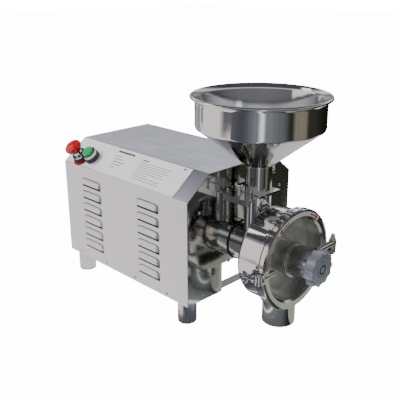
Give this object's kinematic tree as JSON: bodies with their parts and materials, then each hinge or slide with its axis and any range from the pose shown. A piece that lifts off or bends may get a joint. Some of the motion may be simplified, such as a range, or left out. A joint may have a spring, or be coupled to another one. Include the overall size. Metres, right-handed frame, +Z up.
{
  "type": "electric grain grinder",
  "caption": "Bench-top electric grain grinder in polished stainless steel: louvred motor cabinet on legs, screw feed barrel, round hopper, hinged disc chamber with clamp and fluted knob.",
  "frame": {"origin": "on the floor under the middle of the whole machine's box", "axes": "+X along the shaft towards the grinding chamber and knob, +Z up, so the buttons' slope faces -Y"},
  "size_m": [0.5632, 0.3062, 0.4115],
  "materials": {
    "cabinet_steel": "satin",
    "mirror_steel": "mirror polished",
    "satin_steel": "satin",
    "cast_steel": "polished casting",
    "turned_steel": "turned and polished",
    "bearing_steel": "ground",
    "bright_screws": "polished",
    "ring_alloy": "turned",
    "knob_alloy": "anodised",
    "knob_face": "anodised",
    "burr_iron": "ground faces",
    "motor_paint": "satin paint",
    "stator_core": "laminated",
    "black_plastic": "moulded",
    "black_rubber": "moulded",
    "pale_seal": "cut sheet",
    "label_film": "printed film",
    "chrome": "plated",
    "stop_red": "moulded",
    "start_green": "moulded"
  },
  "bodies": {
    "machine": {"base_frame": "satin_steel", "cabinet_cover": "cabinet_steel", "front_plate": "mirror_steel", "rear_plate": "cabinet_steel", "leg_front_left": "satin_steel", "leg_front_right": "satin_steel", "leg_rear_left": "satin_steel", "leg_rear_right": "satin_steel", "foot_pad_front_left": "black_rubber", "foot_pad_front_right": "black_rubber", "foot_pad_rear_left": "black_rubber", "foot_pad_rear_right": "black_rubber", "label_panel": "label_film", "cable_gland": "black_plastic", "estop_legend": "stop_red", "estop_collar": "chrome", "estop_switch_block": "black_plastic", "start_bezel": "chrome", "start_switch_block": "black_plastic", "motor_housing": "motor_paint", "motor_front_shield": "motor_paint", "motor_rear_shield": "motor_paint", "front_bearing": "bearing_steel", "rear_bearing": "bearing_steel", "stator": "stator_core", "fan_cowl": "satin_steel", "start_capacitor": "black_plastic", "run_capacitor": "black_plastic", "capacitor_bracket": "satin_steel", "feed_barrel": "mirror_steel", "shaft_seal": "black_rubber", "gate_housing": "mirror_steel", "hopper": "mirror_steel", "drum_body": "cast_steel", "outlet_spout": "mirror_steel", "chamber_gasket": "pale_seal", "fixed_burr": "burr_iron", "cover_hinge_pin": "bright_screws"},
    "rotor": {"main_shaft": "turned_steel", "rotor": "stator_core", "cooling_fan": "black_plastic", "feed_screw": "turned_steel"},
    "burr": {"rotating_burr": "burr_iron", "burr_carrier": "burr_iron"},
    "cover": {"chamber_cover": "cast_steel", "latch_pin": "bright_screws"},
    "latch": {"latch_bolt": "bright_screws"},
    "wing_nut": {"latch_wing_nut": "bright_screws"},
    "adjuster_slide": {"thrust_bearing": "turned_steel"},
    "adjuster": {"adjusting_spindle": "turned_steel", "adjusting_sleeve": "turned_steel", "adjusting_knob": "knob_alloy", "knob_cap": "knob_face"},
    "lock_ring": {"lock_ring": "ring_alloy"},
    "gate": {"slide_gate": "mirror_steel"},
    "thumbscrew": {"gate_thumbscrew": "bright_screws"},
    "hopper_screw": {"hopper_wing_screw": "bright_screws"},
    "estop_push": {"estop_stem": "bright_screws"},
    "estop_twist": {"estop_head": "stop_red"},
    "start": {"start_button": "start_green"}
  },
  "joints": [
    {"name": "shaft_spin", "type": "hinge", "parent": "machine", "child": "rotor", "pos_m": [0.0974, 0.0086, 0.1327], "axis": [1, 0, 0], "continuous": true},
    {"name": "burr_travel", "type": "slide", "parent": "rotor", "child": "burr", "axis": [1, 0, 0], "range_m": [-0.00075, 0.003]},
    {"name": "cover_swing", "type": "hinge", "parent": "machine", "child": "cover", "pos_m": [0.2234, 0.1246, 0.129], "axis": [0, 0, 1], "range_deg": [0, 100]},
    {"name": "latch_swing", "type": "hinge", "parent": "cover", "child": "latch", "pos_m": [0.2244, -0.0904, 0.129], "axis": [0, 0, 1], "range_deg": [-22, 75]},
    {"name": "latch_nut_turn", "type": "hinge", "parent": "latch", "child": "wing_nut", "pos_m": [0.2244, -0.0904, 0.129], "axis": [-0.9272, -0.3746, 0], "continuous": true},
    {"name": "adjust_travel", "type": "slide", "parent": "cover", "child": "adjuster_slide", "axis": [1, 0, 0], "range_m": [-0.00075, 0.003]},
    {"name": "knob_turn", "type": "hinge", "parent": "adjuster_slide", "child": "adjuster", "pos_m": [0.1974, 0.0086, 0.1327], "axis": [1, 0, 0], "range_deg": [-180, 720]},
    {"name": "lock_ring_turn", "type": "hinge", "parent": "cover", "child": "lock_ring", "pos_m": [0.2224, 0.0086, 0.1327], "axis": [1, 0, 0], "range_deg": [-45, 45]},
    {"name": "gate_slide", "type": "slide", "parent": "machine", "child": "gate", "axis": [0, -1, 0], "range_m": [0, 0.046]},
    {"name": "gate_screw_turn", "type": "hinge", "parent": "gate", "child": "thumbscrew", "pos_m": [0.1349, -0.0429, 0.245], "axis": [0, 0, 1], "continuous": true},
    {"name": "hopper_screw_turn", "type": "hinge", "parent": "machine", "child": "hopper_screw", "pos_m": [0.1349, 0.0386, 0.272], "axis": [0, 1, 0], "continuous": true},
    {"name": "estop_press", "type": "slide", "parent": "machine", "child": "estop_push", "axis": [0, 0.6119, -0.791], "range_m": [0, 0.005]},
    {"name": "estop_release", "type": "hinge", "parent": "estop_push", "child": "estop_twist", "pos_m": [-0.2231, -0.1168, 0.2513], "axis": [0, -0.6119, 0.791], "range_deg": [0, 45], "stiffness_Nm_per_rad": 0.05},
    {"name": "start_press", "type": "slide", "parent": "machine", "child": "start", "axis": [0, 0.6119, -0.791], "range_m": [0, 0.0025], "stiffness_N_per_m": 400}
  ],
  "couplings": [
    {"joint": "burr_travel", "follows": "knob_turn", "m_per_rad": 0.00023873},
    {"joint": "adjust_travel", "follows": "knob_turn", "m_per_rad": 0.00023873}
  ]
}
